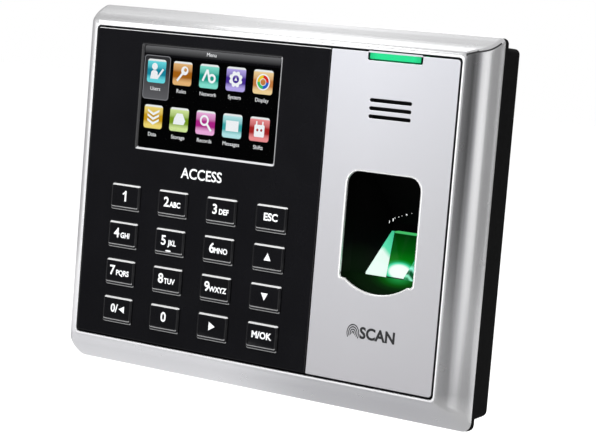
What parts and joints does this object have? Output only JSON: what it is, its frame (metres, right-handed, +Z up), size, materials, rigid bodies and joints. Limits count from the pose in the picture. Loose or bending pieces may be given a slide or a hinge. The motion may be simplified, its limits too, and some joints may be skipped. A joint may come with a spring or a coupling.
{
  "type": "fingerprint scanner terminal",
  "caption": "Wall-mounted fingerprint time and access terminal: silver bezel, black glass keypad and colour display, lit finger recess, speaker slots and wall bracket.",
  "frame": {"origin": "middle of the wall bracket's back face, which lies on the wall", "axes": "+Y into the wall, +X to the right seen from the front, +Z up"},
  "size_m": [0.1826, 0.0345, 0.142],
  "materials": {
    "silver_paint": "satin silver paint on moulded plastic",
    "silver_panel": "fine silver paint on a flat panel",
    "gloss_black": "polished black acrylic",
    "key_black": "polished black with white legends",
    "black_plastic": "fine matt texture",
    "black_shell": "spark-eroded matt texture",
    "display_lens": "clear hard-coated window",
    "lcd_glass": "lit colour display",
    "white_plastic": "moulded",
    "amber_film": "polyimide film",
    "silicone": "matt silicone",
    "circuit_board": "solder resist",
    "status_light": "lit light pipe",
    "green_prism": "polished optical prism, lit green",
    "green_guide": "polished light guide, lit green",
    "grey_metal": "satin",
    "zinc_steel": "zinc plated",
    "bright_steel": "nickel plated",
    "bracket_steel": "galvanised sheet",
    "connector_green": "moulded"
  },
  "bodies": {
    "bracket": {"wall_bracket": "bracket_steel"},
    "terminal": {"front_frame": "silver_paint", "keypad_fascia": "gloss_black", "sensor_fascia": "silver_panel", "front_chassis": "black_plastic", "display_lens": "display_lens", "lcd_panel": "lcd_glass", "lcd_backlight": "white_plastic", "lcd_flex": "amber_film", "keypad_mat": "silicone", "keypad_board": "circuit_board", "status_light_bar": "status_light", "status_led_board": "circuit_board", "speaker": "grey_metal", "speaker_gasket": "silicone", "sensor_cradle": "black_plastic", "sensor_prism": "green_prism", "light_guide": "green_guide", "sensor_lens_barrel": "black_plastic", "sensor_board": "circuit_board", "main_board": "circuit_board", "processor_can": "zinc_steel", "clock_battery": "bright_steel", "ethernet_jack": "zinc_steel", "power_jack": "black_plastic", "relay_terminals": "connector_green", "usb_port": "bright_steel", "usb_riser_board": "circuit_board", "rear_housing": "black_shell", "case_screw_1": "zinc_steel", "case_screw_2": "zinc_steel", "case_screw_3": "zinc_steel", "case_screw_4": "zinc_steel", "board_screw_1": "zinc_steel", "board_screw_2": "zinc_steel", "board_screw_3": "zinc_steel", "board_screw_4": "zinc_steel", "lock_screw": "zinc_steel"},
    "key_1": {"key_1": "key_black"},
    "key_2": {"key_2": "key_black"},
    "key_3": {"key_3": "key_black"},
    "key_esc": {"key_esc": "key_black"},
    "key_4": {"key_4": "key_black"},
    "key_5": {"key_5": "key_black"},
    "key_6": {"key_6": "key_black"},
    "key_up": {"key_up": "key_black"},
    "key_7": {"key_7": "key_black"},
    "key_8": {"key_8": "key_black"},
    "key_9": {"key_9": "key_black"},
    "key_down": {"key_down": "key_black"},
    "key_clear": {"key_clear": "key_black"},
    "key_0": {"key_0": "key_black"},
    "key_right": {"key_right": "key_black"},
    "key_menu": {"key_menu": "key_black"},
    "reset_button": {"reset_button": "white_plastic"}
  },
  "joints": [
    {"name": "terminal_lift", "type": "slide", "parent": "bracket", "child": "terminal", "axis": [0, 0, 1], "range_m": [0, 0.006]},
    {"name": "key_1_press", "type": "slide", "parent": "terminal", "child": "key_1", "axis": [0, 1, 0], "range_m": [0, 0.001], "stiffness_N_per_m": 600, "springref_m": -0.0005},
    {"name": "key_2_press", "type": "slide", "parent": "terminal", "child": "key_2", "axis": [0, 1, 0], "range_m": [0, 0.001], "stiffness_N_per_m": 600, "springref_m": -0.0005},
    {"name": "key_3_press", "type": "slide", "parent": "terminal", "child": "key_3", "axis": [0, 1, 0], "range_m": [0, 0.001], "stiffness_N_per_m": 600, "springref_m": -0.0005},
    {"name": "key_esc_press", "type": "slide", "parent": "terminal", "child": "key_esc", "axis": [0, 1, 0], "range_m": [0, 0.001], "stiffness_N_per_m": 600, "springref_m": -0.0005},
    {"name": "key_4_press", "type": "slide", "parent": "terminal", "child": "key_4", "axis": [0, 1, 0], "range_m": [0, 0.001], "stiffness_N_per_m": 600, "springref_m": -0.0005},
    {"name": "key_5_press", "type": "slide", "parent": "terminal", "child": "key_5", "axis": [0, 1, 0], "range_m": [0, 0.001], "stiffness_N_per_m": 600, "springref_m": -0.0005},
    {"name": "key_6_press", "type": "slide", "parent": "terminal", "child": "key_6", "axis": [0, 1, 0], "range_m": [0, 0.001], "stiffness_N_per_m": 600, "springref_m": -0.0005},
    {"name": "key_up_press", "type": "slide", "parent": "terminal", "child": "key_up", "axis": [0, 1, 0], "range_m": [0, 0.001], "stiffness_N_per_m": 600, "springref_m": -0.0005},
    {"name": "key_7_press", "type": "slide", "parent": "terminal", "child": "key_7", "axis": [0, 1, 0], "range_m": [0, 0.001], "stiffness_N_per_m": 600, "springref_m": -0.0005},
    {"name": "key_8_press", "type": "slide", "parent": "terminal", "child": "key_8", "axis": [0, 1, 0], "range_m": [0, 0.001], "stiffness_N_per_m": 600, "springref_m": -0.0005},
    {"name": "key_9_press", "type": "slide", "parent": "terminal", "child": "key_9", "axis": [0, 1, 0], "range_m": [0, 0.001], "stiffness_N_per_m": 600, "springref_m": -0.0005},
    {"name": "key_down_press", "type": "slide", "parent": "terminal", "child": "key_down", "axis": [0, 1, 0], "range_m": [0, 0.001], "stiffness_N_per_m": 600, "springref_m": -0.0005},
    {"name": "key_clear_press", "type": "slide", "parent": "terminal", "child": "key_clear", "axis": [0, 1, 0], "range_m": [0, 0.001], "stiffness_N_per_m": 600, "springref_m": -0.0005},
    {"name": "key_0_press", "type": "slide", "parent": "terminal", "child": "key_0", "axis": [0, 1, 0], "range_m": [0, 0.001], "stiffness_N_per_m": 600, "springref_m": -0.0005},
    {"name": "key_right_press", "type": "slide", "parent": "terminal", "child": "key_right", "axis": [0, 1, 0], "range_m": [0, 0.001], "stiffness_N_per_m": 600, "springref_m": -0.0005},
    {"name": "key_menu_press", "type": "slide", "parent": "terminal", "child": "key_menu", "axis": [0, 1, 0], "range_m": [0, 0.001], "stiffness_N_per_m": 600, "springref_m": -0.0005},
    {"name": "reset_press", "type": "slide", "parent": "terminal", "child": "reset_button", "axis": [0, -1, 0], "range_m": [0, 0.0005], "stiffness_N_per_m": 800, "springref_m": -0.0004}
  ]
}
